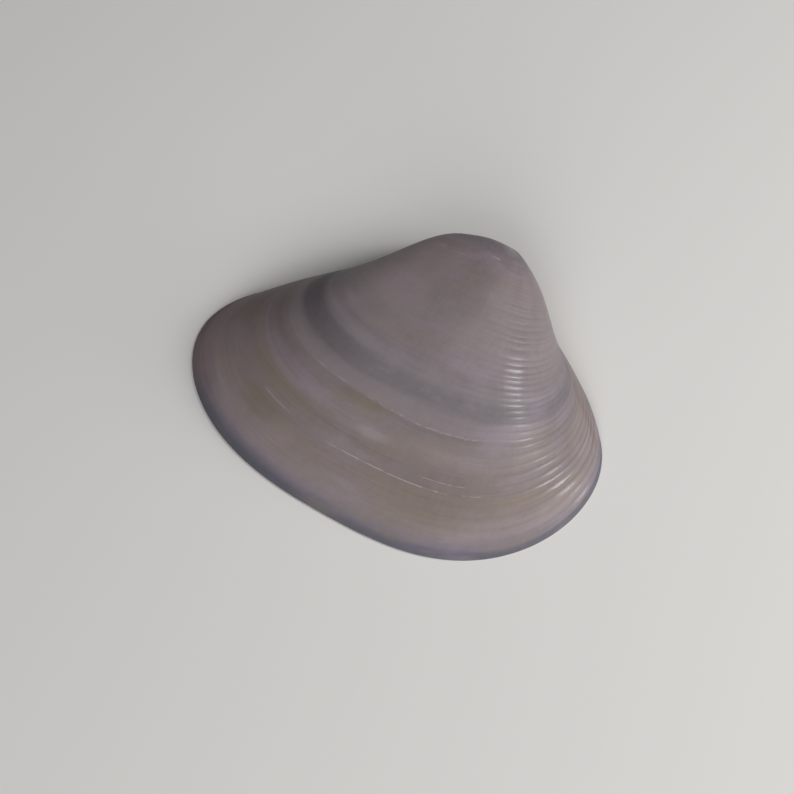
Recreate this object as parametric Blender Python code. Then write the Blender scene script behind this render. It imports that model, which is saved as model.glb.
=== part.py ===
"""One loose valve of a trough clam, lying with its hollow side down on its rim.

The outer surface follows the way a clam grows: each growth line is the outline of the
rim, smaller and turned back about the beak. X runs along the shell, with the short ribbed
end at +X, and Y points from the lower margin to the hinge.
"""
import math

import bmesh
import bpy
import numpy as np
from mathutils import Matrix, Vector
from mathutils.bvhtree import BVHTree

# Sizes are in millimetres until the finished mesh is scaled to metres
METRES_PER_MM = 0.001

# Outline of the rim from above: its distance from a middle point, at equal angles,
# from the hinge round by the long end, the lower margin and the short end
OUTLINE_MIDDLE = (5.1, -0.8)
OUTLINE_RADII = (
    17.4, 16.0, 15.8, 21.3, 27.3, 26.0, 21.8, 18.6, 17.4,
    17.5, 18.0, 18.4, 18.5, 17.6, 15.2, 14.1, 13.9, 15.0)
RIM_POINTS = 84
RIM_LIP = 0.2
RIM_LIP_INSET = 0.1
RIM_STEP = 0.002

# Growth: how the rim of the young shell differs from the rim of the grown one
BEAK = (5.36, 17.83, 0.0)
TURN_AXIS = (1.0, -0.472, -0.349)
WHOLE_TURN = 2.766
TURN_RATE_AT_RIM = 1.293
LONG_END_LAG = 0.19
SHORT_END_LAG = 0.582
LAG_BLEND_WIDTH = 4.17
FIRST_STAGE = 0.02
RING_COUNT = 30
RING_CROWDING = 1.4

# Growth ledges: the stage at which each one was the rim, and how far it stands proud
LEDGES = ((0.523, 0.04), (0.692, 0.06), (0.752, 0.12), (0.839, 0.05), (0.867, 0.08), (0.933, 0.06))
LEDGE_FADE = 0.03
LEDGE_EDGE = 0.004
LEDGE_FULL_GROWTH = 24.0

# Slow swelling of the two slopes beside the beak: the slopes swell and draw in again as the shell
# grows, and the stage of the fullest swelling differs between the long side and the short one
SWELL_HEIGHT = 0.25
SWELL_PERIOD = 0.54
SWELL_PEAK_LONG = 0.31
SWELL_PEAK_SHORT = 0.39
SWELL_SIDES_MEET = (0.38, 0.48)
SWELL_BY_PLACE = ((0.09, 0), (0.18, 1), (0.21, 1), (0.34, 0), (0.52, 0), (0.66, 1), (0.78, 1), (0.90, 0))
SWELL_BY_STAGE = ((0.12, 0), (0.26, 1), (0.93, 1), (1.0, 0))

# The tip of the beak is rubbed down a little
BEAK_WEAR = 0.12
BEAK_WEAR_STAGE = 0.16
BEAK_WEAR_SPREAD = 0.05

# Inside: the flat rim, then ring by ring the inset from it, the share of the hinge plate's
# depth that is added, the thickness of the wall, and whether the ring lies on the plate
RIM_WIDTH = 0.8
INNER_RINGS = ((0.3, 0.0, 0.6, True), (0.8, 1.0, 0.8, True), (1.5, 1.0, 1.0, False))
FULL_WALL = 1.15
HOLLOW_MIDDLE = (3.0, -2.0)
ROOF_FRACTIONS = (0.12, 0.26, 0.42, 0.58, 0.74, 0.88)
ROOF_STEPS = 40
ROOF_TOLERANCE = 0.005

# Hinge plate: a shelf under the beak that stands back from the rim; its reach is in turns of the outline
PLATE_RISE = 1.1
PLATE_DEPTH = 3.2
PLATE_REACH_LONG = 0.19
PLATE_REACH_SHORT = 0.16
PLATE_TAPER = 1.25
PLATE_END_RISE = 10.0
PLATE_END_POWER = 4

# Teeth on the plate: place round the outline in turns, inset from it, length, width,
# and turn in degrees from the line of the rim
TEETH = {
    "front_cardinal": (0.974, 2.5, 2.4, 0.5, -52.0),
    "rear_cardinal": (0.996, 2.5, 2.4, 0.5, 78.0),
    "long_lateral": (0.105, 1.75, 5.6, 0.5, -3.0),
    "short_lateral": (0.895, 1.75, 4.2, 0.5, 3.0),
}
TOOTH_TIP = 0.25
TOOTH_ROOT = 2.6
TOOTH_ROUNDING = 0.14

# Pit for the inner ligament: a three-sided hollow in the plate, behind the cardinal teeth
PIT_PLACE = (0.032, 2.8)
PIT_RADIUS = 1.75
PIT_TURN = 30.0
PIT_ROOF = 1.9

SHELL_COLOUR = (0.33, 0.29, 0.29, 1.0)
SHELL_ROUGHNESS = 0.35
SMOOTH_ANGLE = math.radians(32)


def clear_scene():
    for item in list(bpy.data.objects):
        bpy.data.objects.remove(item, do_unlink=True)


def new_collection(name):
    collection = bpy.data.collections.new(name)
    bpy.context.scene.collection.children.link(collection)
    return collection


def outline_radius(turns):
    """Radius of the outline between the named ones, on a closed cubic spline."""
    radii = np.array(OUTLINE_RADII)
    count = len(radii)
    after, before = np.roll(radii, -1), np.roll(radii, 1)
    neighbours = np.roll(np.eye(count), 1, axis=1) + np.roll(np.eye(count), -1, axis=1)
    slopes = np.linalg.solve(4 * np.eye(count) + neighbours, 3 * (after - before))
    place = turns * count
    start = np.floor(place).astype(int) % count
    end = (start + 1) % count
    part = place - np.floor(place)
    rise = part * part * (3 - 2 * part)
    leaving = slopes[start] * part * (1 - part) ** 2
    arriving = slopes[end] * part * part * (part - 1)
    return radii[start] * (1 - rise) + radii[end] * rise + leaving + arriving


def rim_outline(turns):
    """Points of the rim, from the hinge round by the long end, in the plane it lies on."""
    angle = math.pi / 2 + 2 * math.pi * turns
    radius = outline_radius(turns)
    x = OUTLINE_MIDDLE[0] + radius * np.cos(angle)
    y = OUTLINE_MIDDLE[1] + radius * np.sin(angle)
    return np.stack([x, y, np.zeros_like(x)], axis=1)


def growth_ring(rim, stage):
    """The rim as it lay when the shell had this share of its size."""
    from_beak = rim - np.array(BEAK)
    short_side = 0.5 + 0.5 * np.tanh(from_beak[:, 0] / LAG_BLEND_WIDTH)
    lag = LONG_END_LAG * (1 - short_side) + SHORT_END_LAG * short_side
    ring = from_beak * stage
    ring[:, 0] *= stage ** lag
    turn = -WHOLE_TURN * (1 - stage ** (TURN_RATE_AT_RIM / WHOLE_TURN))
    turned = np.array(Matrix.Rotation(turn, 3, Vector(TURN_AXIS)))
    return ring @ turned.T + np.array(BEAK)


def ring_stages():
    """Stages of the modelled rings, with a pair at each ledge."""
    shares = np.linspace(FIRST_STAGE ** (1 / RING_CROWDING), 1, RING_COUNT) ** RING_CROWDING
    edges = [ledge + side * LEDGE_EDGE for ledge, _ in LEDGES for side in (-0.5, 0.5)]
    clear = [s for s in shares if min(abs(s - edge) for edge in edges) > 2 * LEDGE_EDGE]
    return np.sort(np.array(clear + edges))


def ledge_height(stage):
    """How far the surface stands out at a stage: it swells towards a ledge and drops past it."""
    height = 0.0
    for ledge, proud in LEDGES:
        if stage < ledge:
            height += proud * math.exp(-(ledge - stage) / LEDGE_FADE)
    return height


def eased(table, values):
    """Reads a table of positions and levels of 0 or 1, with soft steps between them."""
    positions, levels = zip(*table)
    part = np.interp(values, positions, levels)
    return part * part * (3 - 2 * part)


def swell_height(turns, stage):
    """Slow rise and fall of the slopes beside the beak at one stage, for every place."""
    peak = np.interp(turns, SWELL_SIDES_MEET, (SWELL_PEAK_LONG, SWELL_PEAK_SHORT))
    wave = np.cos(2 * math.pi * (stage - peak) / SWELL_PERIOD)
    return SWELL_HEIGHT * wave * eased(SWELL_BY_PLACE, turns) * eased(SWELL_BY_STAGE, stage)


def beak_wear(stage):
    return BEAK_WEAR * math.exp(-((stage - BEAK_WEAR_STAGE) / BEAK_WEAR_SPREAD) ** 2)


def outer_rings():
    """Every ring of the outer surface, from the beak to the rim, with its ledges and swellings.

    A ledge is low where the shell has grown little, as it has beside the hinge.
    """
    turns = np.arange(RIM_POINTS) / RIM_POINTS
    rim = rim_outline(turns)
    stages = ring_stages()
    rings = np.array([growth_ring(rim, stage) for stage in stages])
    along = np.roll(rings, -1, axis=1) - np.roll(rings, 1, axis=1)
    growth = np.gradient(rings, stages, axis=0)
    normals = np.cross(growth, along)
    normals /= np.linalg.norm(normals, axis=2, keepdims=True)
    speed = np.linalg.norm(growth, axis=2, keepdims=True)
    grown = np.clip(speed / LEDGE_FULL_GROWTH, 0, 1) ** 2
    ledges = np.array([ledge_height(stage) - beak_wear(stage) for stage in stages])
    swells = np.array([swell_height(turns, stage) for stage in stages])
    rings += normals * (ledges[:, None, None] * grown + swells[:, :, None])
    rings[:, :, 2] += RIM_LIP
    return rings


def place_ring(verts, order, points):
    """Moves a ring's vertices to its points; each vertex knows its place round the ring."""
    for vert in verts:
        vert.co = points[vert[order]]


def next_ring(bm, edges, order, points):
    """Extrudes a ring's edges to the points of the next one and returns the new edges."""
    grown = bmesh.ops.extrude_edge_only(bm, edges=edges)["geom"]
    verts = {item for item in grown if isinstance(item, bmesh.types.BMVert)}
    place_ring(verts, order, points)
    return [item for item in grown if isinstance(item, bmesh.types.BMEdge) and verts.issuperset(item.verts)]


def grow_outer_skin(bm, order):
    """Closed at the beak, then ring after ring out to the rim."""
    rings = outer_rings()
    tip = bmesh.ops.create_circle(bm, cap_ends=True, segments=RIM_POINTS, radius=1)["verts"]
    for place, vert in enumerate(tip):
        vert[order] = place
    place_ring(tip, order, rings[0])
    edges = list(bm.edges)
    for ring in rings[1:]:
        edges = next_ring(bm, edges, order, ring)
    return edges


def inward(rim):
    """Unit vectors that point from each rim point straight into the shell."""
    along = np.roll(rim, -1, axis=0) - np.roll(rim, 1, axis=0)
    normal = np.stack([-along[:, 1], along[:, 0], np.zeros(len(rim))], axis=1)
    return normal / np.linalg.norm(normal, axis=1, keepdims=True)


def plate_share(turns):
    """1 at the middle of the hinge plate, falling to 0 at both its ends."""
    turns = (turns + 0.5) % 1 - 0.5
    reach = np.where(turns > 0, PLATE_REACH_LONG, PLATE_REACH_SHORT)
    return np.clip(1 - np.abs(turns / reach) ** PLATE_TAPER, 0, 1)


def roof_height(skin, x, y, wall):
    """Height of the inner surface at a place: one wall's thickness under the outer one."""
    height = 0.0
    for _ in range(ROOF_STEPS):
        gap = skin.find_nearest(Vector((x, y, height)))[3] - wall
        if gap < ROOF_TOLERANCE:
            break
        height += gap
    return height


def roofed(skin, points, wall, ceiling):
    """Lifts points of the rim's plane to the inner surface, but no higher than a ceiling."""
    lifted = points.copy()
    for place, (x, y, _) in enumerate(points):
        lifted[place, 2] = min(roof_height(skin, x, y, wall), ceiling[place])
    return lifted


def inner_rings(skin):
    """Every ring inside the outer edge, from the flat rim to the roof's middle."""
    turns = np.arange(RIM_POINTS) / RIM_POINTS
    rim = rim_outline(turns)
    inner_edge = rim + inward(rim) * RIM_WIDTH
    middle = np.array((*HOLLOW_MIDDLE, 0.0))
    heading = middle - inner_edge
    heading /= np.linalg.norm(heading, axis=1, keepdims=True)
    share = plate_share(turns)
    plate = PLATE_RISE + PLATE_END_RISE * (1 - share) ** PLATE_END_POWER
    open_above = np.full(RIM_POINTS, np.inf)
    rings = [rim + inward(rim) * RIM_LIP_INSET, inner_edge]
    for inset, plate_part, wall, on_plate in INNER_RINGS:
        reach = inset + PLATE_DEPTH * share * plate_part
        spots = inner_edge + heading * reach[:, None]
        rings.append(roofed(skin, spots, wall, plate if on_plate else open_above))
    for fraction in ROOF_FRACTIONS:
        nearer = spots + (middle - spots) * fraction
        rings.append(roofed(skin, nearer, FULL_WALL, open_above))
    return rings


def close_roof(bm, edges):
    """Gathers the innermost ring into one point at the middle of the roof."""
    verts = list({vert for edge in edges for vert in edge.verts})
    middle = sum((vert.co for vert in verts), Vector()) / len(verts)
    bmesh.ops.pointmerge(bm, verts=verts, merge_co=middle)


def valve_mesh():
    bm = bmesh.new()
    order = bm.verts.layers.int.new("order")
    edges = grow_outer_skin(bm, order)
    skin = BVHTree.FromBMesh(bm)
    for ring in inner_rings(skin):
        edges = next_ring(bm, edges, order, ring)
    close_roof(bm, edges)
    bm.verts.layers.int.remove(order)
    bmesh.ops.recalc_face_normals(bm, faces=bm.faces)
    return finished_mesh(bm, "valve")


def finished_mesh(bm, name):
    """Turns the millimetre mesh into a Blender mesh in metres."""
    bmesh.ops.scale(bm, vec=(METRES_PER_MM,) * 3, verts=bm.verts)
    mesh = bpy.data.meshes.new(name)
    bm.to_mesh(mesh)
    bm.free()
    return mesh


def tooth_mesh(name, length, width):
    """A low blade with rounded edges, rooted in the plate and ending short of the rim's plane."""
    bm = bmesh.new()
    bmesh.ops.create_cube(bm, size=1)
    bmesh.ops.scale(bm, vec=(length, width, TOOTH_ROOT - TOOTH_TIP), verts=bm.verts)
    low = [edge for edge in bm.edges if all(vert.co.z < 0 for vert in edge.verts)]
    bmesh.ops.bevel(bm, geom=low, offset=TOOTH_ROUNDING, segments=2, profile=0.5, affect="EDGES")
    return finished_mesh(bm, name)


def pit_mesh():
    bm = bmesh.new()
    bmesh.ops.create_cone(
        bm, cap_ends=True, segments=3, radius1=PIT_RADIUS, radius2=PIT_RADIUS * 0.6, depth=PIT_ROOF)
    return finished_mesh(bm, "ligament_pit")


def add_object(mesh, collection):
    item = bpy.data.objects.new(mesh.name, mesh)
    collection.objects.link(item)
    return item


def set_tool(item):
    item.hide_render = True
    item.display_type = "WIRE"


def stand_in_plate(item, turns, inset, height, degrees):
    """Puts a cutter or a tooth beside the rim, turned from the rim's own line."""
    near = rim_outline(np.array([turns - RIM_STEP, turns, turns + RIM_STEP]))
    spot = Vector(near[1] + inward(near)[1] * inset)
    spot.z = height
    item.location = spot * METRES_PER_MM
    along = near[2] - near[0]
    item.rotation_euler.z = math.atan2(along[1], along[0]) + math.radians(degrees)
    set_tool(item)


def add_boolean(target, tool, operation):
    boolean = target.modifiers.new(tool.name, "BOOLEAN")
    boolean.operation = operation
    boolean.solver = "EXACT"
    boolean.object = tool


def add_teeth(valve, tools):
    for name, (turns, inset, length, width, degrees) in TEETH.items():
        tooth = add_object(tooth_mesh(name, length, width), tools)
        stand_in_plate(tooth, turns, inset, (TOOTH_TIP + TOOTH_ROOT) / 2, degrees)
        add_boolean(valve, tooth, "UNION")


def cut_ligament_pit(valve, tools):
    pit = add_object(pit_mesh(), tools)
    stand_in_plate(pit, *PIT_PLACE, PIT_ROOF / 2, PIT_TURN)
    add_boolean(valve, pit, "DIFFERENCE")


def shell_material():
    material = bpy.data.materials.new("shell")
    material.use_nodes = True
    shader = material.node_tree.nodes["Principled BSDF"]
    shader.inputs["Base Color"].default_value = SHELL_COLOUR
    shader.inputs["Roughness"].default_value = SHELL_ROUGHNESS
    shader.inputs["Metallic"].default_value = 0.0
    return material


def build_valve():
    parts = new_collection("clam_shell")
    tools = new_collection("cutters")
    valve = add_object(valve_mesh(), parts)
    valve.data.materials.append(shell_material())
    valve.data.shade_smooth()
    valve.data.set_sharp_from_angle(angle=SMOOTH_ANGLE)
    cut_ligament_pit(valve, tools)
    add_teeth(valve, tools)


clear_scene()
build_valve()
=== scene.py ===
"""Looks for the clam valve: a fine mesh grown by the same law as the CAD valve, with its finish.

Every point of the valve has a place, in turns round the rim from the hinge by way of the
long end, and a stage, the share of its size that the shell had when that point was its rim.
Inside, the stage runs on from 1 at the rim to 2 at the middle of the roof. Both are kept in
the UV map, so that bands, ribs and growth lines follow the shell.
"""
import math

import bmesh
import bpy
import numpy as np
from mathutils import Matrix, Vector
from mathutils.bvhtree import BVHTree


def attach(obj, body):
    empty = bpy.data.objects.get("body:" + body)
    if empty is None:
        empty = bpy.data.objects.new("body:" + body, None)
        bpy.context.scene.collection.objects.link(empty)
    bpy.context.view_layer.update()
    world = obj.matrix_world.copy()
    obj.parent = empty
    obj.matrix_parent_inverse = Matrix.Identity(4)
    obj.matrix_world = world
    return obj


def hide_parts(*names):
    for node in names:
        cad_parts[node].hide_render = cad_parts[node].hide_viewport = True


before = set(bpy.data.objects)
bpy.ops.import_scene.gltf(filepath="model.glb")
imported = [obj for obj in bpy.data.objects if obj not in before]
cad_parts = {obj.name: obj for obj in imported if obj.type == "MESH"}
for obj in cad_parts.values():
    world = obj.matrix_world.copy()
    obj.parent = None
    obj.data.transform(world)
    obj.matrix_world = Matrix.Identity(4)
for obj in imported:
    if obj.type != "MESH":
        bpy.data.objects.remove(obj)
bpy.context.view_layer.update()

METRES_PER_MM = 0.001

# Camera: where it looks, in millimetres, and from which side
CAMERA_LENS = 85.0
CAMERA_SENSOR = 36.0
CAMERA_TARGET = (-0.04, -1.1, 0.2)
CAMERA_DISTANCE = 200.0
CAMERA_AZIMUTH = 4.27
CAMERA_ELEVATION = 65.35
CAMERA_ROLL = 5.71
CAMERA_NEAR = 0.01

# Lights: azimuth from the front towards +X, elevation, distance, size in metres, power in watts
LIGHTS = {
    "window": (93.0, 44.0, 0.30, (0.05, 0.14), 0.33),
    "side_fill": (88.0, 27.0, 0.60, (0.35, 0.35), 1.17),
    "high_fill": (0.0, 60.0, 0.70, (0.50, 0.40), 0.80),
    "front_fill": (0.0, 30.0, 0.60, (0.35, 0.35), 1.33),
}
ROOM_LIGHT = 0.02
FLOOR_SIZE = 3.0
FLOOR_SHADE = (236, 234, 231)
FLOOR_SETTINGS = {"Roughness": 0.9, "Specular IOR Level": 0.1}

# Outline of the rim, in millimetres, and the law it grew by, as the CAD valve has them
OUTLINE_MIDDLE = (5.1, -0.8)
OUTLINE_RADII = (
    17.4, 16.0, 15.8, 21.3, 27.3, 26.0, 21.8, 18.6, 17.4,
    17.5, 18.0, 18.4, 18.5, 17.6, 15.2, 14.1, 13.9, 15.0)
BEAK = (5.36, 17.83, 0.0)
TURN_AXIS = (1.0, -0.472, -0.349)
WHOLE_TURN = 2.766
TURN_RATE_AT_RIM = 1.293
LONG_END_LAG = 0.19
SHORT_END_LAG = 0.582
LAG_BLEND_WIDTH = 4.17
FIRST_STAGE = 0.012

# Mesh: places round the shell, rows of the beak, and rows up to each later stage
PLACES = 180
BEAK_ROWS = 32
BEAK_TO_STAGE = 0.28
BODY_ROWS = ((0.44, 34), (0.98, 386), (1.0, 8))

# Growth lines sag at the short end by up to this much of a stage
SAG = 0.024
SAG_BY_PLACE = ((0.0, 0), (0.54, 0), (0.74, 1), (0.80, 1), (1.0, 0))
SAG_BY_STAGE = ((0.3, 0), (0.45, 1), (0.68, 1), (0.92, 0))
# The worn ledge and the lines beside it drift from their stage by this much, by place
DRIFT_BY_PLACE = (
    (0.300, 0.0), (0.335, -0.0025), (0.365, -0.0025), (0.420, 0.0045),
    (0.493, 0.0005), (0.535, -0.0045), (0.570, 0.0))
DRIFT_BY_STAGE = ((0.70, 0), (0.735, 1), (0.765, 1), (0.80, 0))

# Growth ledges: stage and height, and where round the shell they are strong
LEDGES = (
    (0.523, 0.012), (0.692, 0.014), (0.752, 0.027), (0.839, 0.014), (0.867, 0.020), (0.933, 0.020))
LEDGE_FADE = 0.03
LEDGE_BY_PLACE = (
    (0.0, 0.3), (0.24, 0.3), (0.36, 0.5), (0.40, 1.0), (0.50, 1.0), (0.56, 0.2), (1.0, 0.3))
# Relief is full where the shell grew this many millimetres in a stage, and lower where it grew less
FULL_GROWTH = 24.0

# Slow swelling of the slopes beside the beak, and the wear of its tip, as the CAD valve has them
SWELL_HEIGHT = 0.25
SWELL_PERIOD = 0.54
SWELL_PEAK_LONG = 0.31
SWELL_PEAK_SHORT = 0.39
SWELL_SIDES_MEET = (0.38, 0.48)
SWELL_BY_PLACE = (
    (0.09, 0), (0.18, 1), (0.21, 1), (0.34, 0), (0.52, 0), (0.66, 1), (0.78, 1), (0.90, 0))
SWELL_BY_STAGE = ((0.12, 0), (0.26, 1), (0.93, 1), (1.0, 0))
BEAK_WEAR = 0.12
BEAK_WEAR_STAGE = 0.16
BEAK_WEAR_SPREAD = 0.05

# Ribs of the short end: first, end and spacing of the early ones, then the later crests' stages
EARLY_RIBS = (0.24, 0.45, 0.0115)
RIB_CRESTS = (
    0.454, 0.479, 0.492, 0.511, 0.525, 0.537, 0.564, 0.579, 0.593, 0.610,
    0.618, 0.634, 0.648, 0.662, 0.674, 0.689, 0.702, 0.721, 0.739, 0.753,
    0.768, 0.790, 0.811, 0.831, 0.856, 0.872, 0.896, 0.923, 0.949, 0.975)
# Their height in millimetres and the roundness of their crests, both by stage
RIB_HEIGHT = (
    (0.24, 0.0), (0.36, 0.016), (0.46, 0.036), (0.75, 0.045), (0.85, 0.075), (0.90, 0.130),
    (0.94, 0.220), (0.975, 0.270), (0.99, 0.090), (1.0, 0.0))
RIB_ROUNDING = ((0.60, 1.6), (0.84, 1.6), (0.90, 1.25))
# How far past each crest the groove lies, as a share of the way to the next crest
RIB_GROOVE = ((0.45, 0.38), (0.60, 0.5), (0.80, 0.6), (0.87, 0.56), (0.96, 0.45))
# The place where they are strongest, how they fade to both sides of it, and how wide they spread
RIB_STRONGEST = (
    (0.24, 0.44), (0.45, 0.49), (0.59, 0.537), (0.72, 0.577), (0.82, 0.603), (1.0, 0.645))
RIB_BY_OFFSET = (
    (-0.16, 0.06), (-0.09, 0.2), (-0.04, 0.3), (-0.01, 0.75),
    (0.02, 1.0), (0.05, 0.6), (0.10, 0.3), (0.4, 0.15))
RIB_SPREAD = ((0.72, 1.0), (0.84, 1.7))
# Single ribs vary in height between these shares
RIB_VARIETY = (0.6, 1.0)
RIB_SEED = 11

# Crease beside the short end's upper margin: width in turns, depth in millimetres
CREASE_PLACE = 0.712
CREASE_WIDTH = 0.010
CREASE_DEPTH = 0.05
CREASE_BY_STAGE = ((0.0, 0.0), (0.5, 0.0), (0.68, 1.0), (0.9, 1.0), (1.0, 0.3))

# Rim and inner side, in millimetres, as the CAD valve has them
RIM_LIP = 0.2
RIM_LIP_INSET = 0.1
RIM_LIP_ROWS = 3
RIM_WIDTH = 0.8
# Rings from the rim inwards: inset, share of the plate's depth, wall above, whether on the plate
INNER_RINGS = ((0.3, 0.0, 0.6, True), (0.8, 1.0, 0.8, True), (1.5, 1.0, 1.0, False))
INNER_RING_ROWS = (3, 12, 5)
# Stages inside: the rim's inner edge, what each inner ring adds, and the roof's start and middle
RIM_EDGE_STAGE = 1.02
INNER_RING_STAGE = 0.04
ROOF_STAGE = 1.14
MIDDLE_STAGE = 2.0
FULL_WALL = 1.15
HOLLOW_MIDDLE = (3.0, -2.0)
ROOF_ROWS = 32
ROOF_STEPS = 40
ROOF_TOLERANCE = 0.002
PLATE_RISE = 1.1
PLATE_DEPTH = 3.2
PLATE_REACH_LONG = 0.19
PLATE_REACH_SHORT = 0.16
PLATE_TAPER = 1.25
PLATE_END_RISE = 10.0
PLATE_END_POWER = 4

# Teeth on the plate: place round the outline in turns, inset from it, length, width,
# and turn in degrees from the line of the rim
TEETH = {
    "front_cardinal": (0.974, 2.5, 2.4, 0.5, -52.0),
    "rear_cardinal": (0.996, 2.5, 2.4, 0.5, 78.0),
    "long_lateral": (0.105, 1.75, 5.6, 0.5, -3.0),
    "short_lateral": (0.895, 1.75, 4.2, 0.5, 3.0),
}
TOOTH_TIP = 0.25
TOOTH_ROOT = 2.6
TOOTH_ROUNDING = 0.16
TOOTH_ROUNDING_ROWS = 4
TOOTH_STAGE = 1.1
RIM_STEP = 0.002

# Pit for the inner ligament: a three-sided hollow in the plate, behind the cardinal teeth
PIT_PLACE = (0.032, 2.8)
PIT_INNER_RADIUS = 0.9
PIT_EDGE = 0.35
PIT_TURN = 30.0
PIT_ROOF = 1.9

# Points this close, in millimetres, are one, and rings this close in stage are the same
WELD_DISTANCE = 1e-6
SAME_STAGE = 1e-4

# Finish, as display colours in even light: bands of the outside from the beak to the rim
BANDS = (
    (0.00, (100, 90, 98)), (0.24, (115, 103, 112)), (0.30, (138, 126, 132)),
    (0.36, (148, 134, 137)), (0.50, (146, 135, 136)), (0.55, (149, 138, 140)),
    (0.61, (144, 133, 137)), (0.640, (139, 129, 134)), (0.662, (140, 132, 136)),
    (0.684, (127, 120, 125)), (0.708, (129, 121, 126)), (0.722, (141, 132, 136)),
    (0.749, (145, 134, 138)), (0.757, (136, 126, 127)), (0.80, (146, 134, 135)),
    (0.832, (140, 128, 126)), (0.86, (142, 130, 129)), (0.90, (146, 133, 131)),
    (0.94, (152, 139, 139)), (0.962, (148, 137, 141)), (0.977, (133, 125, 137)),
    (0.988, (114, 112, 124)), (1.00, (105, 103, 113)),
)
# Bands, the ledge's edge and the short lines wander over this much of a stage
BAND_WANDER = 0.008
LEDGE_WANDER = 0.007
LINE_WANDER = 0.0016

# Noise drawn out along the growth lines: scale round the shell, scale by stage, and detail
NOISE = {
    "band drift": (0.9, 4.0, 2.0),
    "clouds": (2.2, 22.0, 3.0),
    "streaks": (2.4, 190.0, 3.0),
    "mottling": (25.0, 55.0, 3.0),
    "smudges": (7.0, 26.0, 2.0),
    "grain": (22.0, 6.0, 4.0),
    "chips": (24.0, 8.0, 2.0),
    "breaks": (18.0, 20.0, 2.0),
    "hair lines": (4.0, 170.0, 3.0),
    "dull spots": (3.0, 60.0, 2.0),
}

# Clouds: the part of their noise over which they come in, and how strong they are
CLOUD_BEIGE = (145, 133, 118)
CLOUD_LILAC = (159, 145, 155)
BEIGE_CLOUDS = (0.50, 0.68)
LILAC_CLOUDS = (0.48, 0.32)
LILAC_STRENGTH = 0.30
# The beige clouds grow stronger between these stages
BEIGE_STAGES = (0.70, 0.80)
BEIGE_STRENGTH = (0.12, 0.42)

# Dusky band of the long end: its stages and how softly they start, its places, and its strength
LONG_END_DUSK = (101, 90, 97)
LONG_END_BROWN = (136, 113, 108)
DUSK_STAGES = (0.675, 0.705, 0.028)
DUSK_PLACES = (0.36, 0.22)
DUSK_STRENGTH = 0.6

# Broad soft patches: place, stage, reach in place and in stage, and how much lighter they are
# Three of them lie over the ribs' glints: (0.528, 0.625) is painted shade over the glints' glow, and
# (0.585, 0.720) and (0.640, 0.955) are painted highlight
PATCHES = (
    (0.365, 0.500, 0.050, 0.160, -0.17), (0.490, 0.410, 0.065, 0.100, 0.20),
    (0.255, 0.500, 0.040, 0.140, 0.20), (0.650, 0.540, 0.080, 0.200, -0.05),
    (0.285, 0.655, 0.055, 0.018, 0.14), (0.295, 0.990, 0.070, 0.030, -0.16),
    (0.440, 0.300, 0.070, 0.050, 0.12), (0.270, 0.785, 0.050, 0.022, -0.13),
    (0.262, 0.957, 0.022, 0.018, -0.14), (0.640, 0.955, 0.040, 0.040, 0.08),
    (0.500, 0.880, 0.060, 0.060, -0.10), (0.389, 0.811, 0.020, 0.011, 0.09),
    (0.303, 0.892, 0.020, 0.022, -0.10), (0.360, 0.765, 0.030, 0.011, -0.10),
    (0.690, 0.845, 0.030, 0.060, 0.16), (0.225, 0.980, 0.042, 0.035, 0.20),
    (0.325, 0.912, 0.016, 0.030, 0.07), (0.528, 0.625, 0.035, 0.110, -0.09),
    (0.585, 0.720, 0.030, 0.090, 0.10), (0.285, 0.615, 0.028, 0.016, 0.10),
)
# Tinted patches: the same, but with how far they take on a colour
TINTS = (
    (0.295, 0.797, 0.045, 0.022, 0.50, CLOUD_LILAC), (0.389, 0.811, 0.022, 0.013, 0.40, CLOUD_LILAC),
    (0.303, 0.892, 0.022, 0.024, 0.30, CLOUD_BEIGE), (0.360, 0.765, 0.032, 0.012, 0.30, CLOUD_BEIGE),
    (0.225, 0.975, 0.050, 0.040, 0.60, LONG_END_BROWN),
    (0.235, 0.760, 0.022, 0.020, 0.40, LONG_END_BROWN),
    (0.290, 0.955, 0.045, 0.022, 0.40, CLOUD_LILAC), (0.285, 0.515, 0.045, 0.050, 0.40, CLOUD_LILAC),
    (0.500, 0.905, 0.070, 0.050, 0.30, CLOUD_BEIGE), (0.450, 0.800, 0.050, 0.030, 0.30, CLOUD_BEIGE),
    (0.385, 0.420, 0.035, 0.040, 0.25, CLOUD_BEIGE), (0.345, 0.600, 0.045, 0.030, 0.25, CLOUD_BEIGE),
    (0.205, 0.860, 0.030, 0.090, 0.50, LONG_END_BROWN),
)
# Where a patch starts and is full, in squares of its reach
PATCH_FADE = (1.6, 0.0)

# How far mottling, streaks and smudges change the lightness, and how far painted shade darkens
# the ribs' grooves; streaks and smudges go from the first level to the second between two stages
MOTTLING = 0.16
STREAKS = (0.10, 0.20)
STREAK_STAGES = (0.56, 0.66)
SMUDGES = (0.39, 0.13)
SMUDGE_STAGES = (0.30, 0.42)
GROOVE_SHADE = 0.20

# Lines: stage, where they start and end round the shell, width in stages, strength
LINE_PALE = (205, 188, 183)
LINE_DARK = (101, 90, 86)
# The ledge's pale edge is painted highlight where its step catches the light; the dark line just
# past it is painted shadow under the step
LEDGE_HIGHLIGHT = (0.752, 0.375, 0.500, 0.0024, 0.30)
LEDGE_SHADOW = (0.756, 0.375, 0.500, 0.0045, 0.14)
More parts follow.
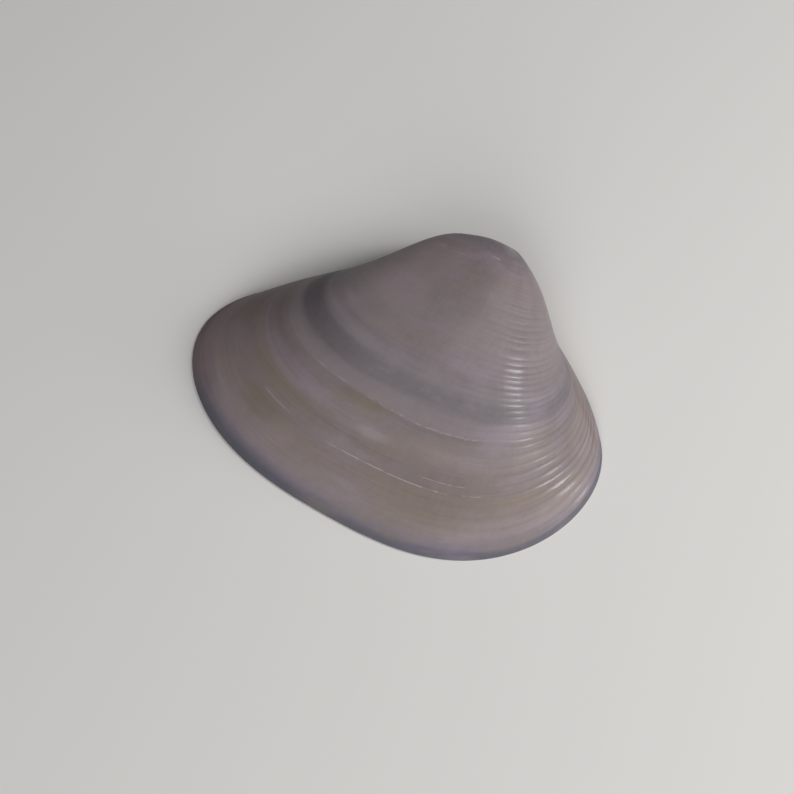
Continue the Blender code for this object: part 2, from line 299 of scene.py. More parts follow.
# Pale lines near the beak (stages 0.31 to 0.40) are worn scratches; the later ones, along growth
# halts, are painted highlight on the edges of thin lamellae
WORN_AND_HIGHLIGHT_LINES = (
    (0.8670, 0.375, 0.485, 0.0020, 0.60), (0.8480, 0.465, 0.510, 0.0014, 0.45),
    (0.8645, 0.518, 0.536, 0.0016, 0.45), (0.8620, 0.297, 0.320, 0.0030, 0.30),
    (0.7490, 0.300, 0.333, 0.0016, 0.35), (0.7820, 0.305, 0.360, 0.0012, 0.22),
    (0.3090, 0.382, 0.410, 0.0060, 0.60), (0.3480, 0.302, 0.316, 0.0050, 0.30),
    (0.3480, 0.264, 0.276, 0.0050, 0.20), (0.3980, 0.335, 0.390, 0.0020, 0.14),
    (0.8930, 0.360, 0.420, 0.0010, 0.20), (0.7980, 0.470, 0.520, 0.0010, 0.15),
)
DARK_LINES = (
    (0.8300, 0.280, 0.345, 0.0040, 0.16), (0.8345, 0.325, 0.380, 0.0040, 0.16),
    (0.8390, 0.370, 0.430, 0.0040, 0.10), (0.8730, 0.290, 0.330, 0.0070, 0.10),
    (0.8480, 0.300, 0.360, 0.0016, 0.14), (0.8560, 0.520, 0.560, 0.0030, 0.12),
)
# Lines fade over this share of their length at each end, and break where their noise is low
LINE_FADE = 0.2
CHIPPED = (0.36, 0.60)
BROKEN = (0.40, 0.56)
BROKEN_STRENGTH = 0.25

# Brown of the crease, the stages over which it shows, and its strength
CREASE_BROWN = (135, 114, 106)
CREASE_STAGES = (0.66, 0.92, 0.06)
CREASE_STRENGTH = 0.45

# Inside: porcelain, two muscle scars, and the line that joins them, drawn in at the long end
INSIDE_COLOUR = (205, 195, 198)
INSIDE_SCAR = (188, 176, 180)
# Scars: place, stage, and reach in place and in stage, with how soft their edges are
MUSCLE_SCARS = ((0.205, 1.33, 0.028, 0.11), (0.800, 1.36, 0.026, 0.12))
SCAR_EDGE = (1.2, 0.8)
# The line's stage, softness and places, and the bay's place, reach and depth in stages
PALLIAL_LINE = 1.30
PALLIAL_EDGE = (0.025, 0.005)
PALLIAL_PLACES = (0.22, 0.79, 0.02)
PALLIAL_SINUS = (0.285, 0.070, 0.34)

# Hair-fine growth lines: depth in millimetres, strength away from the short end and on it,
# and the places and stages over which they gain strength
HAIR_LINE_DEPTH = 0.04
HAIR_LINE_STRENGTH = (0.25, 0.80)
HAIR_LINE_PLACES = (0.48, 0.58)
HAIR_LINE_STAGES = (0.45, 0.97, 0.03)

# Gloss: the ribs' crests are smoother and have a clear coat
ROUGHNESS = (0.47, 0.63)
RIB_POLISH = 0.28
RIB_COAT = 0.55
SHELL_SETTINGS = {
    "Subsurface Weight": 0.15,
    "Subsurface Radius": (1.0, 0.7, 0.6),
    "Subsurface Scale": 0.8 * METRES_PER_MM,
    "Coat Roughness": 0.16,
    "Specular IOR Level": 0.4,
}


def direction(azimuth, elevation):
    """Unit vector towards a point that far round from the front, towards +X, and that high."""
    azimuth, elevation = math.radians(azimuth), math.radians(elevation)
    level = math.cos(elevation)
    return Vector((math.sin(azimuth) * level, -math.cos(azimuth) * level, math.sin(elevation)))


def add_object(name, data):
    """Puts an object with this data into the scene."""
    item = bpy.data.objects.new(name, data)
    bpy.context.scene.collection.objects.link(item)
    return item


def add_camera():
    """Sets the camera where the photograph was taken from."""
    back = direction(CAMERA_AZIMUTH, CAMERA_ELEVATION)
    azimuth = math.radians(CAMERA_AZIMUTH)
    right = Vector((math.cos(azimuth), math.sin(azimuth), 0))
    axes = Matrix((right, back.cross(right), back)).transposed()
    turned = axes @ Matrix.Rotation(math.radians(CAMERA_ROLL), 3, "Z")
    camera = add_object("camera", bpy.data.cameras.new("camera"))
    camera.data.lens = CAMERA_LENS
    camera.data.sensor_width = CAMERA_SENSOR
    camera.data.clip_start = CAMERA_NEAR
    spot = (Vector(CAMERA_TARGET) + back * CAMERA_DISTANCE) * METRES_PER_MM
    camera.matrix_world = Matrix.Translation(spot) @ turned.to_4x4()
    bpy.context.scene.camera = camera


def add_lights():
    """Adds the lights; only the window is mirrored in the ribs."""
    for name, (azimuth, elevation, distance, size, power) in LIGHTS.items():
        lamp = bpy.data.lights.new(name, "AREA")
        lamp.shape = "RECTANGLE"
        lamp.size, lamp.size_y = size
        lamp.energy = power
        towards = direction(azimuth, elevation)
        light = add_object(name, lamp)
        facing = towards.to_track_quat("Z", "Y").to_matrix().to_4x4()
        light.matrix_world = Matrix.Translation(towards * distance) @ facing
        light.visible_glossy = name == "window"
    world = bpy.data.worlds.new("room")
    world.use_nodes = True
    background = world.node_tree.nodes["Background"]
    background.inputs["Strength"].default_value = ROOM_LIGHT
    background.inputs["Color"].default_value = (1, 1, 1, 1)
    bpy.context.scene.world = world
    bpy.context.scene.view_settings.view_transform = "Standard"


def linear(shade):
    """Scene colour for a display colour given in 0 to 255."""
    share = np.array(shade) / 255
    low = share / 12.92
    high = ((share + 0.055) / 1.055) ** 2.4
    return (*np.where(share < 0.04045, low, high), 1.0)


def add_floor():
    bm = bmesh.new()
    bmesh.ops.create_grid(bm, x_segments=1, y_segments=1, size=FLOOR_SIZE / 2)
    mesh = bpy.data.meshes.new("floor")
    bm.to_mesh(mesh)
    bm.free()
    material = bpy.data.materials.new("floor")
    material.use_nodes = True
    shader = material.node_tree.nodes["Principled BSDF"]
    shader.inputs["Base Color"].default_value = linear(FLOOR_SHADE)
    for name, value in FLOOR_SETTINGS.items():
        shader.inputs[name].default_value = value
    mesh.materials.append(material)
    add_object("floor", mesh)


def by(table, values):
    """Reads values off a short table of positions and levels."""
    positions, levels = zip(*table)
    return np.interp(values, positions, levels)


def outline_radius(turns):
    """Radius of the outline between the named ones, on a closed cubic spline."""
    radii = np.array(OUTLINE_RADII)
    count = len(radii)
    after, before = np.roll(radii, -1), np.roll(radii, 1)
    neighbours = np.roll(np.eye(count), 1, axis=1) + np.roll(np.eye(count), -1, axis=1)
    slopes = np.linalg.solve(4 * np.eye(count) + neighbours, 3 * (after - before))
    place = turns * count
    start = np.floor(place).astype(int) % count
    end = (start + 1) % count
    part = place - np.floor(place)
    rise = part * part * (3 - 2 * part)
    leaving = slopes[start] * part * (1 - part) ** 2
    arriving = slopes[end] * part * part * (part - 1)
    return radii[start] * (1 - rise) + radii[end] * rise + leaving + arriving


def rim_outline(turns):
    """Points of the rim, from the hinge round by the long end, in the plane it lies on."""
    angle = math.pi / 2 + 2 * math.pi * turns
    radius = outline_radius(turns)
    x = OUTLINE_MIDDLE[0] + radius * np.cos(angle)
    y = OUTLINE_MIDDLE[1] + radius * np.sin(angle)
    return np.stack([x, y, np.zeros_like(x)], axis=1)


def growth_ring(rim, stage):
    """The rim as it lay when the shell had this share of its size."""
    from_beak = rim - np.array(BEAK)
    short_side = 0.5 + 0.5 * np.tanh(from_beak[:, 0] / LAG_BLEND_WIDTH)
    lag = LONG_END_LAG * (1 - short_side) + SHORT_END_LAG * short_side
    ring = from_beak * stage
    ring[:, 0] *= stage ** lag
    turn = -WHOLE_TURN * (1 - stage ** (TURN_RATE_AT_RIM / WHOLE_TURN))
    turned = np.array(Matrix.Rotation(turn, 3, Vector(TURN_AXIS)))
    return ring @ turned.T + np.array(BEAK)


def outer_stages():
    """Stages of the outer surface's rings, close together where the ribs and ledges are."""
    stages = list(np.geomspace(FIRST_STAGE, BEAK_TO_STAGE, BEAK_ROWS))
    for end, rows in BODY_ROWS:
        stages.extend(np.linspace(stages[-1], end, rows + 1)[1:])
    return np.array(stages)


def eased(table, values):
    """Reads a table of positions and levels of 0 or 1, with soft steps between them."""
    part = by(table, values)
    return part * part * (3 - 2 * part)


def swell_relief(turns, stage):
    """Slow rise and fall of the slopes beside the beak."""
    peak = np.interp(turns, SWELL_SIDES_MEET, (SWELL_PEAK_LONG, SWELL_PEAK_SHORT))
    wave = np.cos(2 * math.pi * (stage - peak) / SWELL_PERIOD)
    return SWELL_HEIGHT * wave * eased(SWELL_BY_PLACE, turns) * eased(SWELL_BY_STAGE, stage)


def beak_wear(stage):
    """How far the tip is worn down."""
    return BEAK_WEAR * np.exp(-((stage - BEAK_WEAR_STAGE) / BEAK_WEAR_SPREAD) ** 2)


def ledge_relief(stage):
    """The surface swells towards each ledge and drops past it."""
    height = np.zeros_like(stage)
    for ledge, proud in LEDGES:
        height += np.where(stage < ledge, proud * np.exp(-(ledge - stage) / LEDGE_FADE), 0)
    return height


def sagged(turns, stage):
    """Stage of the growth line that passes a spot."""
    drift = by(DRIFT_BY_PLACE, turns) * eased(DRIFT_BY_STAGE, stage)
    return stage - drift - SAG * eased(SAG_BY_PLACE, turns) * eased(SAG_BY_STAGE, stage)


def rib_shares(turns, stage):
    """How far up a rib a spot is, and how deep in a groove, both from 0 to 1."""
    random = np.random.default_rng(RIB_SEED)
    crests = np.append(np.arange(*EARLY_RIBS), RIB_CRESTS)
    crests = np.append(crests, 2 * crests[-1] - crests[-2])
    heights = random.uniform(*RIB_VARIETY, len(crests))
    count = np.interp(stage, crests, np.arange(len(crests)))
    last = np.minimum(np.floor(count).astype(int), len(crests) - 2)
    past, groove = count - last, by(RIB_GROOVE, stage)
    falling = past < groove
    down = np.where(falling, past / groove, (1 - past) / (1 - groove))
    swell = 1 - down ** by(RIB_ROUNDING, stage)
    height = np.where(falling, heights[last], heights[last + 1])
    strength = by(RIB_BY_OFFSET, (turns - by(RIB_STRONGEST, stage)) / by(RIB_SPREAD, stage))
    return height * swell * strength, (1 - swell) ** 2 * strength


def crease_relief(turns, stage):
    """A shallow furrow that runs down the short end."""
    across = (turns - CREASE_PLACE) / CREASE_WIDTH
    return -CREASE_DEPTH * np.exp(-across ** 2) * by(CREASE_BY_STAGE, stage)


def outer_rings(turns):
    """Every ring of the outer surface, from the beak to the rim, with its relief.

    Relief is low where the shell has grown little, as it has beside the hinge.
    """
    rim = rim_outline(turns)
    stages = outer_stages()
    rings = np.array([growth_ring(rim, stage) for stage in stages])
    around = np.roll(rings, -1, axis=1) - np.roll(rings, 1, axis=1)
    growth = np.gradient(rings, stages, axis=0)
    normals = np.cross(growth, around)
    normals /= np.linalg.norm(normals, axis=2, keepdims=True)
    grown = np.clip(np.linalg.norm(growth, axis=2) / FULL_GROWTH, 0, 1) ** 2
    place, stage = np.meshgrid(turns, stages)
    line = sagged(place, stage)
    ribs, grooves = rib_shares(place, line)
    ledges = ledge_relief(line) * by(LEDGE_BY_PLACE, place)
    relief = (ledges + by(RIB_HEIGHT, stage) * ribs - beak_wear(stage)) * grown
    relief += crease_relief(place, stage) + swell_relief(place, stage)
    rings += normals * relief[:, :, None]
    rings[:, :, 2] += RIM_LIP
    return stages, rings, line, ribs, grooves * grown


def inward(rim):
    """Unit vectors that point from each rim point straight into the shell."""
    along = np.roll(rim, -1, axis=0) - np.roll(rim, 1, axis=0)
    normal = np.stack([-along[:, 1], along[:, 0], np.zeros(len(rim))], axis=1)
    return normal / np.linalg.norm(normal, axis=1, keepdims=True)


def plate_share(turns):
    """1 at the middle of the hinge plate, falling to 0 at both its ends."""
    turns = (turns + 0.5) % 1 - 0.5
    reach = np.where(turns > 0, PLATE_REACH_LONG, PLATE_REACH_SHORT)
    return np.clip(1 - np.abs(turns / reach) ** PLATE_TAPER, 0, 1)


def roof_height(skin, x, y, wall):
    """Height of the inner surface at a place: one wall's thickness under the outer one."""
    height = 0.0
    for _ in range(ROOF_STEPS):
        gap = skin.find_nearest(Vector((x, y, height)))[3] - wall
        if gap < ROOF_TOLERANCE:
            break
        height += gap
    return height


def roofed(skin, points, wall, ceiling):
    """Lifts points of the rim's plane to the inner surface, but no higher than a ceiling."""
    lifted = points.copy()
    for place, (x, y, _) in enumerate(points):
        lifted[place, 2] = min(roof_height(skin, x, y, wall), ceiling[place])
    return lifted


def plate_spot(turns, inset):
    """A spot beside the rim, and the turn of the rim's line there."""
    near = rim_outline(np.array([turns - RIM_STEP, turns, turns + RIM_STEP]))
    along = near[2] - near[0]
    return near[1] + inward(near)[1] * inset, math.atan2(along[1], along[0])


def hollow_pit(ring):
    """Lifts the points of a ring that lie over the ligament pit."""
    middle, turn = plate_spot(*PIT_PLACE)
    off = ring - middle
    reach = np.full(len(ring), -np.inf)
    for side in range(3):
        angle = turn + math.radians(PIT_TURN + 60 + 120 * side)
        across = off[:, 0] * math.cos(angle) + off[:, 1] * math.sin(angle)
        reach = np.maximum(reach, across)
    share = eased(((-PIT_EDGE, 1), (0, 0)), reach - PIT_INNER_RADIUS)
    inside = ring[:, 2] > RIM_LIP
    ring[:, 2] += np.where(inside, np.maximum(PIT_ROOF - ring[:, 2], 0) * share, 0)


def lip_rings(rim):
    """The rounded lip, from the outer surface down to the plane that the rim rests on."""
    rings = []
    for row in range(1, RIM_LIP_ROWS + 1):
        angle = math.pi / 2 * row / RIM_LIP_ROWS
        ring = rim + inward(rim) * RIM_LIP_INSET * (1 - math.cos(angle))
        ring[:, 2] = RIM_LIP * (1 - math.sin(angle))
        rings.append((1.0, ring))
    return rings


def inner_rings(skin, turns):
    """Every ring inside the outer edge, with its stage: lip, flat rim, plate and roof."""
    rim = rim_outline(turns)
    rings = lip_rings(rim)
    inner_edge = rim + inward(rim) * RIM_WIDTH
    middle = np.array((*HOLLOW_MIDDLE, 0.0))
    heading = middle - inner_edge
    heading /= np.linalg.norm(heading, axis=1, keepdims=True)
    share = plate_share(turns)
    plate = PLATE_RISE + PLATE_END_RISE * (1 - share) ** PLATE_END_POWER
    open_above = np.full(len(turns), np.inf)
    last, start = inner_edge, RIM_EDGE_STAGE
    rings.append((start, last))
    for (inset, plate_part, wall, on_plate), rows in zip(INNER_RINGS, INNER_RING_ROWS):
        spots = inner_edge + heading * (inset + PLATE_DEPTH * share * plate_part)[:, None]
        ring = roofed(skin, spots, wall, plate if on_plate else open_above)
        for row in range(1, rows + 1):
            part = row / rows
            rings.append((start + INNER_RING_STAGE * part, last + (ring - last) * part))
        last = ring
        start += INNER_RING_STAGE
    for row in range(1, ROOF_ROWS):
        nearer = spots + (middle - spots) * row / ROOF_ROWS
        stage = ROOF_STAGE + (MIDDLE_STAGE - ROOF_STAGE) * row / ROOF_ROWS
        rings.append((stage, roofed(skin, nearer, FULL_WALL, open_above)))
    for _, ring in rings:
        hollow_pit(ring)
    return rings


def outer_skin(bm, turns):
    """A grid laid over the outer surface and welded along the hinge line."""
    stages, rings, line, ribs, grooves = outer_rings(turns)
    rows = len(stages)
    bmesh.ops.create_grid(bm, x_segments=PLACES, y_segments=rows - 1, size=0.5)
    place_of = bm.verts.layers.int["place"]
    stage_of = bm.verts.layers.float["stage"]
    rib_of = bm.verts.layers.float["rib"]
    groove_of = bm.verts.layers.float["groove"]
    seam = []
    for vert in bm.verts:
        column = round((vert.co.x + 0.5) * PLACES)
        row = round((vert.co.y + 0.5) * (rows - 1))
        if column in (0, PLACES):
            seam.append(vert)
        vert[place_of] = column % PLACES
        vert[stage_of] = line[row, column % PLACES]
        vert[rib_of] = ribs[row, column % PLACES]
        vert[groove_of] = grooves[row, column % PLACES]
        vert.co = rings[row, column % PLACES]
    bmesh.ops.remove_doubles(bm, verts=seam, dist=WELD_DISTANCE)


def close_end(bm, edges):
    """Gathers a ring into one point at its middle."""
    verts = list(dict.fromkeys(vert for edge in edges for vert in edge.verts))
    middle = sum((vert.co for vert in verts), Vector()) / len(verts)
    bmesh.ops.pointmerge(bm, verts=verts, merge_co=middle)


def boundary(bm, stage):
    """The open edges at a stage."""
    stage_of = bm.verts.layers.float["stage"]
    return [edge for edge in bm.edges if edge.is_boundary
            and all(abs(vert[stage_of] - stage) < SAME_STAGE for vert in edge.verts)]


def next_ring(bm, edges, stage, points):
    """Extrudes a ring's edges to the points of the next one and returns the new edges."""
    place_of = bm.verts.layers.int["place"]
    stage_of = bm.verts.layers.float["stage"]
    grown = bmesh.ops.extrude_edge_only(bm, edges=edges)["geom"]
    verts = {item for item in grown if isinstance(item, bmesh.types.BMVert)}
    for vert in verts:
        vert[stage_of] = stage
        vert.co = points[vert[place_of]]
    edges = (item for item in grown if isinstance(item, bmesh.types.BMEdge))
    return [edge for edge in edges if verts.issuperset(edge.verts)]


def map_growth(bm):
    """Writes place and stage into the UV map, where the last column runs up to 1."""
    place_of = bm.verts.layers.int["place"]
    stage_of = bm.verts.layers.float["stage"]
    growth = bm.loops.layers.uv.new("growth")
    for face in bm.faces:
        columns = [loop.vert[place_of] for loop in face.loops]
        across_seam = max(columns) - min(columns) > PLACES / 2
        for loop, column in zip(face.loops, columns):
            if across_seam and column < PLACES / 2:
                column += PLACES
            loop[growth].uv = (column / PLACES, loop.vert[stage_of])


def tooth_mesh(turns, inset, length, width, degrees):
    """A low blade with rounded edges, rooted in the plate and ending short of the rim's plane."""
    middle, turn = plate_spot(turns, inset)
    bm = bmesh.new()
    bmesh.ops.create_cube(bm, size=1)
    bmesh.ops.scale(bm, vec=(length, width, TOOTH_ROOT - TOOTH_TIP), verts=bm.verts)
    bmesh.ops.bevel(
        bm, geom=list(bm.edges), offset=TOOTH_ROUNDING, segments=TOOTH_ROUNDING_ROWS,
        profile=0.5, affect="EDGES", material=-1)
    turned = Matrix.Rotation(turn + math.radians(degrees), 3, "Z")
    bmesh.ops.rotate(bm, verts=bm.verts, matrix=turned)
    height = (TOOTH_TIP + TOOTH_ROOT) / 2
    bmesh.ops.translate(bm, verts=bm.verts, vec=(middle[0], middle[1], height))
    mesh = bpy.data.meshes.new("tooth")
    bm.to_mesh(mesh)
    bm.free()
    return mesh


def add_teeth(bm):
    """Sets the teeth into the hinge plate; their roots are inside the shell's wall."""
    place_of = bm.verts.layers.int["place"]
    stage_of = bm.verts.layers.float["stage"]
    for tooth in TEETH.values():
        blade = tooth_mesh(*tooth)
        bm.from_mesh(blade)
        bpy.data.meshes.remove(blade)
        for vert in bm.verts:
            if vert[stage_of] == 0:
                vert[stage_of] = TOOTH_STAGE
                vert[place_of] = round(tooth[0] * PLACES) % PLACES


def put_in_order(bm):
    """Lists the faces the same way in each run, which extruding doesn't."""
    bm.verts.index_update()
    bm.faces.sort(key=lambda face: sum(vert.index ** 2 for vert in face.verts))


def valve_mesh():
    """The whole valve as one closed mesh, from the outside in, with the teeth set into it."""
    bm = bmesh.new()
    bm.verts.layers.int.new("place")
    bm.verts.layers.float.new("stage")
    bm.verts.layers.float.new("rib")
    bm.verts.layers.float.new("groove")
    turns = np.arange(PLACES) / PLACES
    outer_skin(bm, turns)
    skin = BVHTree.FromBMesh(bm)
    tip = boundary(bm, FIRST_STAGE)
    edges = boundary(bm, 1.0)
    for stage, ring in inner_rings(skin, turns):
        edges = next_ring(bm, edges, stage, ring)
    close_end(bm, edges)
    close_end(bm, tip)
    add_teeth(bm)
    put_in_order(bm)
    bmesh.ops.recalc_face_normals(bm, faces=bm.faces)
    map_growth(bm)
    bmesh.ops.scale(bm, vec=(METRES_PER_MM,) * 3, verts=bm.verts)
    mesh = bpy.data.meshes.new("clam_valve")
    bm.to_mesh(mesh)
    bm.free()
    mesh.shade_smooth()
    return mesh


def plug(tree, socket, value):
    """Links an output to a socket, or sets the socket to a number or a display colour."""
    if isinstance(value, bpy.types.NodeSocket):
        tree.links.new(value, socket)
    elif isinstance(value, tuple):
        socket.default_value = linear(value)
    else:
        socket.default_value = value


def maths(tree, operation, *values):
    """One step of arithmetic on outputs and numbers."""
    node = tree.nodes.new("ShaderNodeMath")
    node.operation = operation
    for socket, value in zip(node.inputs, values):
        plug(tree, socket, value)
    return node.outputs[0]


def rise(tree, value, start, end):
    """0 before start and 1 past end, or the other way round where end is the lower one."""
    node = tree.nodes.new("ShaderNodeMapRange")
    node.interpolation_type = "SMOOTHSTEP"
    for name, level in (("Value", value), ("From Min", start), ("From Max", end)):
        plug(tree, node.inputs[name], level)
    return node.outputs[0]


def between(tree, value, start, end, fade):
    """1 from start to end, fading to 0 outside them."""
    starting = rise(tree, value, start - fade, start)
    return maths(tree, "MULTIPLY", starting, rise(tree, value, end + fade, end))


def mixed(tree, share, low, high):
    """A level that goes from low to high as the share goes from 0 to 1."""
    return maths(tree, "MULTIPLY_ADD", share, high - low, low)


def apart(tree, value, centre):
    """How far a value is from a centre, to either side."""
    return maths(tree, "ABSOLUTE", maths(tree, "SUBTRACT", value, centre))


def blend(tree, share, below, above, kind="MIX"):
    """Lays one colour over another by a share."""
    node = tree.nodes.new("ShaderNodeMix")
    node.data_type = "RGBA"
    node.blend_type = kind
    plug(tree, node.inputs[0], share)
    plug(tree, node.inputs[6], below)
    plug(tree, node.inputs[7], above)
    return node.outputs[2]


def band_colours(tree, stage):
    """The bands' colour at a stage."""
    node = tree.nodes.new("ShaderNodeValToRGB")
    stops = node.color_ramp.elements
    while len(stops) < len(BANDS):
        stops.new(1.0)
    for stop, (position, shade) in zip(stops, BANDS):
        stop.position = position
        stop.color = linear(shade)
    plug(tree, node.inputs[0], stage)
    return node.outputs[0]


def growth_noise(tree, place, stage, kind):
    """Noise drawn out along the growth lines; the coordinates close up round the shell."""
    round_scale, stage_scale, detail = NOISE[kind]
    angle = maths(tree, "MULTIPLY", place, 2 * math.pi)
    where = tree.nodes.new("ShaderNodeCombineXYZ")
    plug(tree, where.inputs[0], maths(tree, "MULTIPLY", maths(tree, "COSINE", angle), round_scale))
    plug(tree, where.inputs[1], maths(tree, "MULTIPLY", maths(tree, "SINE", angle), round_scale))
    plug(tree, where.inputs[2], maths(tree, "MULTIPLY", stage, stage_scale))
    noise = tree.nodes.new("ShaderNodeTexNoise")
    plug(tree, noise.inputs["Vector"], where.outputs[0])
    plug(tree, noise.inputs["Scale"], 1.0)
    plug(tree, noise.inputs["Detail"], detail)
    return noise.outputs[0]


def uneven(tree, place, stage, kind):
    """The same noise, moved to lie half above and half below nothing."""
    return maths(tree, "SUBTRACT", growth_noise(tree, place, stage, kind), 0.5)


def mesh_level(tree, name):
    """A level that the mesh keeps at each of its points."""
    node = tree.nodes.new("ShaderNodeAttribute")
    node.attribute_name = name
    return node.outputs["Fac"]


def growth_line(tree, place, stage, centre, start, end, width, strength):
    """How strongly a thin line shows: along one stage, between two places."""
    across = rise(tree, apart(tree, stage, centre), width, 0.0)
    along = between(tree, place, start, end, (end - start) * LINE_FADE)
    return maths(tree, "MULTIPLY", maths(tree, "MULTIPLY", across, along), strength)


def from_middle(tree, place, stage, middle, centre, reach, spread):
    """Square of the distance from a patch's middle, counted in its reach and its spread."""
    across = maths(tree, "DIVIDE", maths(tree, "SUBTRACT", place, middle), reach)
    along = maths(tree, "DIVIDE", maths(tree, "SUBTRACT", stage, centre), spread)
    return maths(tree, "ADD", maths(tree, "POWER", across, 2.0), maths(tree, "POWER", along, 2.0))


def soft_patch(tree, place, stage, *patch):
    """A round patch in place and stage that fades out to its edge."""
    *where, strength = patch
    shown = rise(tree, from_middle(tree, place, stage, *where), *PATCH_FADE)
    return maths(tree, "MULTIPLY", shown, strength)


def outside_colour(tree, place, stage):
    """Bands by stage, then clouds, tints, light and shade, and lines."""
    drift = uneven(tree, place, stage, "band drift")
    colour = band_colours(tree, maths(tree, "MULTIPLY_ADD", drift, BAND_WANDER, stage))
    colour = clouded(tree, place, stage, colour)
    for *patch, tint in TINTS:
        colour = blend(tree, soft_patch(tree, place, stage, *patch), colour, tint)
    shade = tree.nodes.new("ShaderNodeCombineColor")
    level = lightness(tree, place, stage)
    for socket in shade.inputs:
        plug(tree, socket, level)
    colour = blend(tree, 1.0, colour, shade.outputs[0], "MULTIPLY")
    return growth_lines(tree, place, stage, colour)


def clouded(tree, place, stage, colour):
    """Adds the beige and lilac clouds, and the dusky band of the long end."""
    clouds = growth_noise(tree, place, stage, "clouds")
    strength = mixed(tree, rise(tree, stage, *BEIGE_STAGES), *BEIGE_STRENGTH)
    beige = maths(tree, "MULTIPLY", rise(tree, clouds, *BEIGE_CLOUDS), strength)
    colour = blend(tree, beige, colour, CLOUD_BEIGE)
    lilac = maths(tree, "MULTIPLY", rise(tree, clouds, *LILAC_CLOUDS), LILAC_STRENGTH)
    colour = blend(tree, lilac, colour, CLOUD_LILAC)
    along = between(tree, stage, *DUSK_STAGES)
    dusk = maths(tree, "MULTIPLY", along, rise(tree, place, *DUSK_PLACES))
    return blend(tree, maths(tree, "MULTIPLY", dusk, DUSK_STRENGTH), colour, LONG_END_DUSK)


def lightness(tree, place, stage):
    """Lightness: streaks, mottling, smudges, broad patches (a few of them painted highlight and
    shade over the glints), and painted shade in the ribs' grooves.
    """
    streaks = mixed(tree, rise(tree, stage, *STREAK_STAGES), *STREAKS)
    smudges = mixed(tree, rise(tree, stage, *SMUDGE_STAGES), *SMUDGES)
    level = 1.0
    for kind, depth in (("streaks", streaks), ("mottling", MOTTLING), ("smudges", smudges)):
        level = maths(tree, "MULTIPLY_ADD", uneven(tree, place, stage, kind), depth, level)
    for patch in PATCHES:
        level = maths(tree, "ADD", level, soft_patch(tree, place, stage, *patch))
    # Painted shade in the grooves between the ribs
    return maths(tree, "MULTIPLY_ADD", mesh_level(tree, "groove"), -GROOVE_SHADE, level)


def growth_lines(tree, place, stage, colour):
    """Adds the painted highlight and painted shadow at the worn ledge's ragged edge, the short pale
    lines (worn scratches and painted highlights), the dark lines, and the crease.
    """
    grain = uneven(tree, place, stage, "grain")
    ragged = maths(tree, "MULTIPLY_ADD", grain, LEDGE_WANDER, stage)
    chipped = rise(tree, growth_noise(tree, place, stage, "chips"), *CHIPPED)
    # Painted highlight along the ledge's step, broken where the edge is chipped
    edge = maths(tree, "MULTIPLY", growth_line(tree, place, ragged, *LEDGE_HIGHLIGHT), chipped)
    colour = blend(tree, edge, colour, LINE_PALE)
    # Painted shadow under the ledge's step
    colour = blend(tree, growth_line(tree, place, ragged, *LEDGE_SHADOW), colour, LINE_DARK)
    slack = maths(tree, "MULTIPLY_ADD", grain, LINE_WANDER, stage)
    whole = rise(tree, growth_noise(tree, place, stage, "breaks"), *BROKEN)
    broken = mixed(tree, whole, BROKEN_STRENGTH, 1.0)
    # Worn scratches near the beak, and painted highlights on lamella edges further out
    for line in WORN_AND_HIGHLIGHT_LINES:
        share = maths(tree, "MULTIPLY", growth_line(tree, place, slack, *line), broken)
        colour = blend(tree, share, colour, LINE_PALE)
    for line in DARK_LINES:
        colour = blend(tree, growth_line(tree, place, slack, *line), colour, LINE_DARK)
    bent = maths(tree, "MULTIPLY_ADD", grain, CREASE_WIDTH, place)
    across = rise(tree, apart(tree, bent, CREASE_PLACE), CREASE_WIDTH, 0.0)
    crease = maths(tree, "MULTIPLY", across, between(tree, stage, *CREASE_STAGES))
    return blend(tree, maths(tree, "MULTIPLY", crease, CREASE_STRENGTH), colour, CREASE_BROWN)


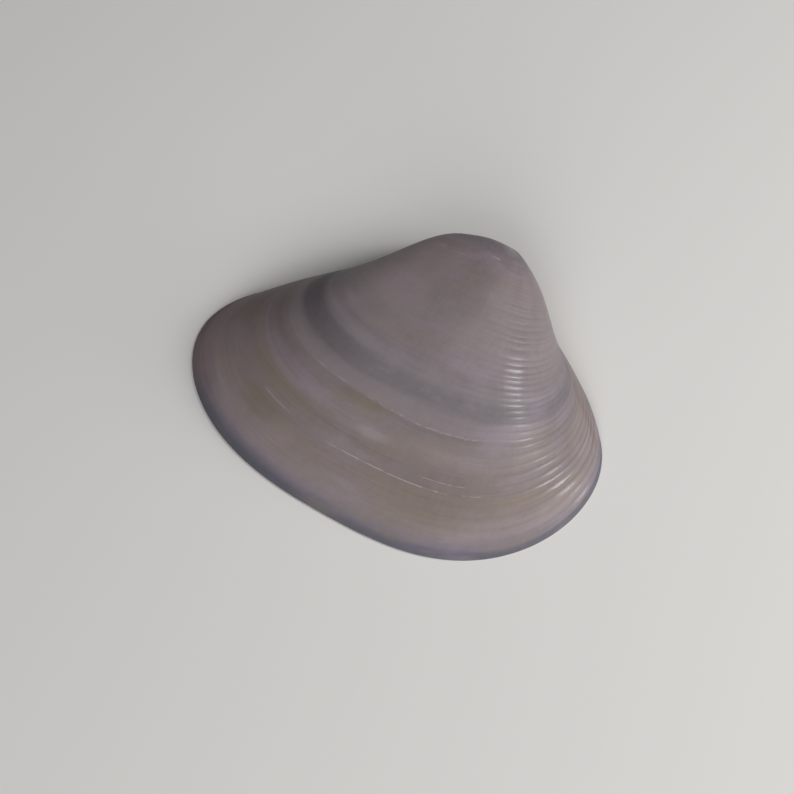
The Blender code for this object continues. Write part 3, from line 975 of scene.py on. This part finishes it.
def inside_colour(tree, place, stage):
    """Porcelain with two muscle scars and the line where the mantle was fixed."""
    colour = INSIDE_COLOUR
    for scar in MUSCLE_SCARS:
        share = rise(tree, from_middle(tree, place, stage, *scar), *SCAR_EDGE)
        colour = blend(tree, share, colour, INSIDE_SCAR)
    middle, reach, drawn_in = PALLIAL_SINUS
    bay = rise(tree, apart(tree, place, middle), reach, 0.0)
    line = maths(tree, "MULTIPLY_ADD", bay, drawn_in, PALLIAL_LINE)
    across = rise(tree, apart(tree, stage, line), *PALLIAL_EDGE)
    drawn = maths(tree, "MULTIPLY", across, between(tree, place, *PALLIAL_PLACES))
    return blend(tree, drawn, colour, INSIDE_SCAR)


def surface_bump(tree, place, stage):
    """Hair-fine growth lines, which are stronger towards the short end."""
    along = between(tree, stage, *HAIR_LINE_STAGES)
    short_end = maths(tree, "MULTIPLY", rise(tree, place, *HAIR_LINE_PLACES), along)
    bump = tree.nodes.new("ShaderNodeBump")
    plug(tree, bump.inputs["Strength"], mixed(tree, short_end, *HAIR_LINE_STRENGTH))
    plug(tree, bump.inputs["Distance"], HAIR_LINE_DEPTH * METRES_PER_MM)
    plug(tree, bump.inputs["Height"], growth_noise(tree, place, stage, "hair lines"))
    return bump.outputs[0]


def valve_material():
    """The shell's finish outside and inside, which change over on the flat rim."""
    material = bpy.data.materials.new("shell")
    material.use_nodes = True
    tree = material.node_tree
    shader = tree.nodes["Principled BSDF"]
    growth = tree.nodes.new("ShaderNodeUVMap")
    growth.uv_map = "growth"
    parts = tree.nodes.new("ShaderNodeSeparateXYZ")
    plug(tree, parts.inputs[0], growth.outputs[0])
    place, stage = parts.outputs[0], parts.outputs[1]
    inside = rise(tree, stage, 1.0, RIM_EDGE_STAGE)
    outer, inner = outside_colour(tree, place, stage), inside_colour(tree, place, stage)
    plug(tree, shader.inputs["Base Color"], blend(tree, inside, outer, inner))
    rib = mesh_level(tree, "rib")
    dull = mixed(tree, growth_noise(tree, place, stage, "dull spots"), *ROUGHNESS)
    polished = maths(tree, "MULTIPLY", rib, RIB_POLISH)
    plug(tree, shader.inputs["Roughness"], maths(tree, "SUBTRACT", dull, polished))
    plug(tree, shader.inputs["Coat Weight"], maths(tree, "MULTIPLY", rib, RIB_COAT))
    plug(tree, shader.inputs["Normal"], surface_bump(tree, place, stage))
    for name, value in SHELL_SETTINGS.items():
        shader.inputs[name].default_value = value
    return material


def add_valve():
    """Adds the dressed valve in place of the plain one."""
    valve = add_object("clam_valve", valve_mesh())
    valve.data.materials.append(valve_material())
    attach(valve, "root")
    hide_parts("valve")


add_camera()
add_lights()
add_floor()
add_valve()
